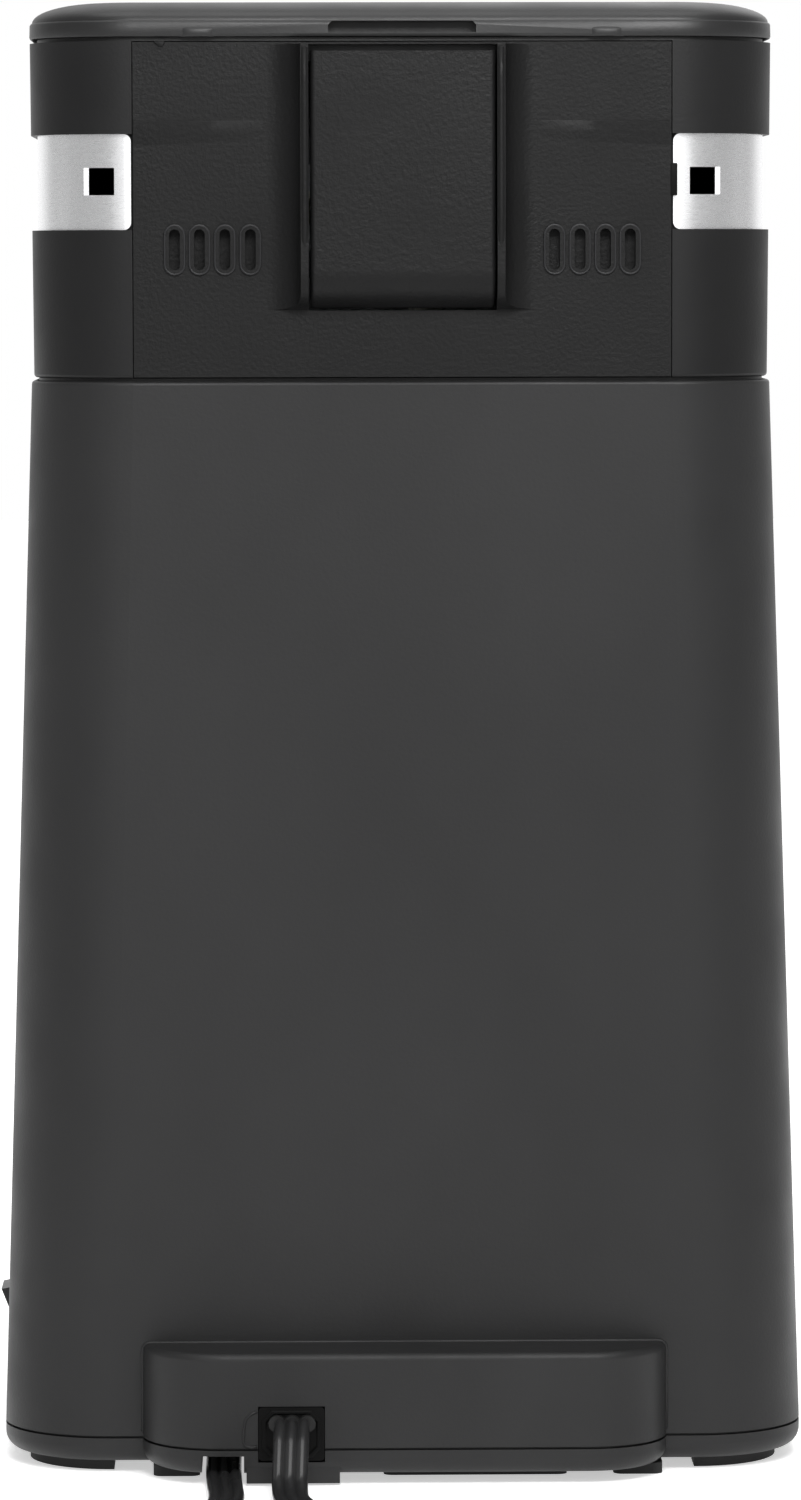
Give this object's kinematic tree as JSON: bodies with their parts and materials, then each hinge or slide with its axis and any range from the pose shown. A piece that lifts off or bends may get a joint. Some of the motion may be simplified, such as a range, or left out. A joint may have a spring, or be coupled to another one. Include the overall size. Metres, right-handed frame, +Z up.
{
  "type": "electric can opener",
  "caption": "Tall black electric can opener with a tapered column, stainless trim band, press-down cutter lever and rear motor housing.",
  "frame": {"origin": "on the standing surface, at the middle of the opener's bounding box without its cord", "axes": "+Z up; -Y the front with the lever and cutter; +Y the rear with the motor cover and cord; +X the side with the rocker switch"},
  "size_m": [0.1333, 0.2777, 0.2394],
  "materials": {
    "black_abs": "fine satin moulded texture",
    "grained_abs": "fine spark-eroded grain",
    "lid_abs": "satin",
    "brushed_band": "brushed stainless",
    "switch_plastic": "satin",
    "gland_plastic": "matte",
    "foot_rubber": "matte",
    "cord_pvc": "semi-gloss PVC",
    "steel": "zinc plated",
    "cutter_steel": "ground and polished",
    "laminations": "stacked silicon steel",
    "coil_tape": "yellow insulation tape over copper winding",
    "bronze": "sintered bronze",
    "nylon_gear": "natural nylon",
    "magnet_metal": "ferrite",
    "tie_pvc": "satin",
    "blade_brass": "nickel plated brass",
    "wire_pvc": "PVC insulation"
  },
  "bodies": {
    "housing": {"base_cover": "black_abs", "feet": "foot_rubber", "base_screws": "steel", "body_shell": "black_abs", "head_shell": "black_abs", "trim_band": "brushed_band", "lid": "lid_abs", "rear_cover": "grained_abs", "motor_cover": "grained_abs", "guide_posts": "steel", "gear_plate_rear": "steel", "gear_plate_front": "steel", "plate_spacers": "steel", "plate_screws": "steel", "gear_axles": "steel", "feed_bushes": "bronze", "motor_stator": "laminations", "motor_coil": "coil_tape", "motor_bushes": "bronze", "rear_bracket": "steel", "motor_spacers": "steel", "motor_screws": "steel", "lever_bush": "bronze", "lever_spring": "steel", "start_switch": "switch_plastic", "rocker_housing": "switch_plastic", "rocker_pin": "steel", "cord_gland": "gland_plastic", "wiring": "wire_pvc", "cord": "cord_pvc", "cord_coil": "cord_pvc", "cord_tail": "cord_pvc", "cord_tie": "tie_pvc", "plug_body": "cord_pvc", "plug_blades": "blade_brass"},
    "rotor": {"rotor_core": "laminations", "rotor_shaft": "steel", "motor_pinion": "steel", "cooling_fan": "nylon_gear"},
    "first_gear": {"gear_1": "nylon_gear"},
    "second_gear": {"gear_2": "nylon_gear"},
    "feed_drive": {"output_gear": "steel", "feed_shaft": "steel", "feed_wheel": "cutter_steel", "feed_nut": "steel"},
    "lever": {"lever_arm": "black_abs", "lever_shaft": "steel", "cutter_stud": "steel", "magnet_pin": "steel"},
    "cutter": {"cutter_wheel": "cutter_steel"},
    "magnet_swing": {"magnet_arm": "black_abs", "magnet": "magnet_metal"},
    "plunger": {"switch_plunger": "nylon_gear"},
    "rocker": {"rocker_button": "switch_plastic"}
  },
  "joints": [
    {"name": "rotor_spin", "type": "hinge", "parent": "housing", "child": "rotor", "pos_m": [0, 0.01, 0.206], "axis": [0, 1, 0], "continuous": true},
    {"name": "gear_1_spin", "type": "hinge", "parent": "housing", "child": "first_gear", "pos_m": [-0.02275, -0.008, 0.20199], "axis": [0, 1, 0], "continuous": true},
    {"name": "gear_2_spin", "type": "hinge", "parent": "housing", "child": "second_gear", "pos_m": [-0.01876, -0.014, 0.17756], "axis": [0, 1, 0], "continuous": true},
    {"name": "feed_spin", "type": "hinge", "parent": "housing", "child": "feed_drive", "pos_m": [0.004, -0.03, 0.193], "axis": [0, 1, 0], "continuous": true},
    {"name": "lever_press", "type": "hinge", "parent": "housing", "child": "lever", "pos_m": [-0.026, -0.05, 0.214], "axis": [0, 1, 0], "range_deg": [0, 9.6], "stiffness_Nm_per_rad": 0.6, "springref_deg": -20.05},
    {"name": "cutter_spin", "type": "hinge", "parent": "lever", "child": "cutter", "pos_m": [0.004, -0.05, 0.213], "axis": [0, 1, 0], "continuous": true},
    {"name": "magnet_tilt", "type": "hinge", "parent": "lever", "child": "magnet_swing", "pos_m": [-0.0125, -0.06, 0.212], "axis": [1, 0, 0], "range_deg": [-80, 0]},
    {"name": "switch_press", "type": "slide", "parent": "housing", "child": "plunger", "axis": [0, 0, -1], "range_m": [0, 0.0015]},
    {"name": "rocker_tilt", "type": "hinge", "parent": "housing", "child": "rocker", "pos_m": [0.0623, 0.005, 0.0185], "axis": [0, 1, 0], "range_deg": [-21, 0]}
  ],
  "couplings": [
    {"joint": "gear_1_spin", "follows": "rotor_spin", "ratio": -0.17857},
    {"joint": "gear_2_spin", "follows": "rotor_spin", "ratio": 0.039683},
    {"joint": "feed_spin", "follows": "rotor_spin", "ratio": -0.0099206},
    {"joint": "switch_press", "follows": "lever_press", "m_per_rad": 0.0089525}
  ]
}
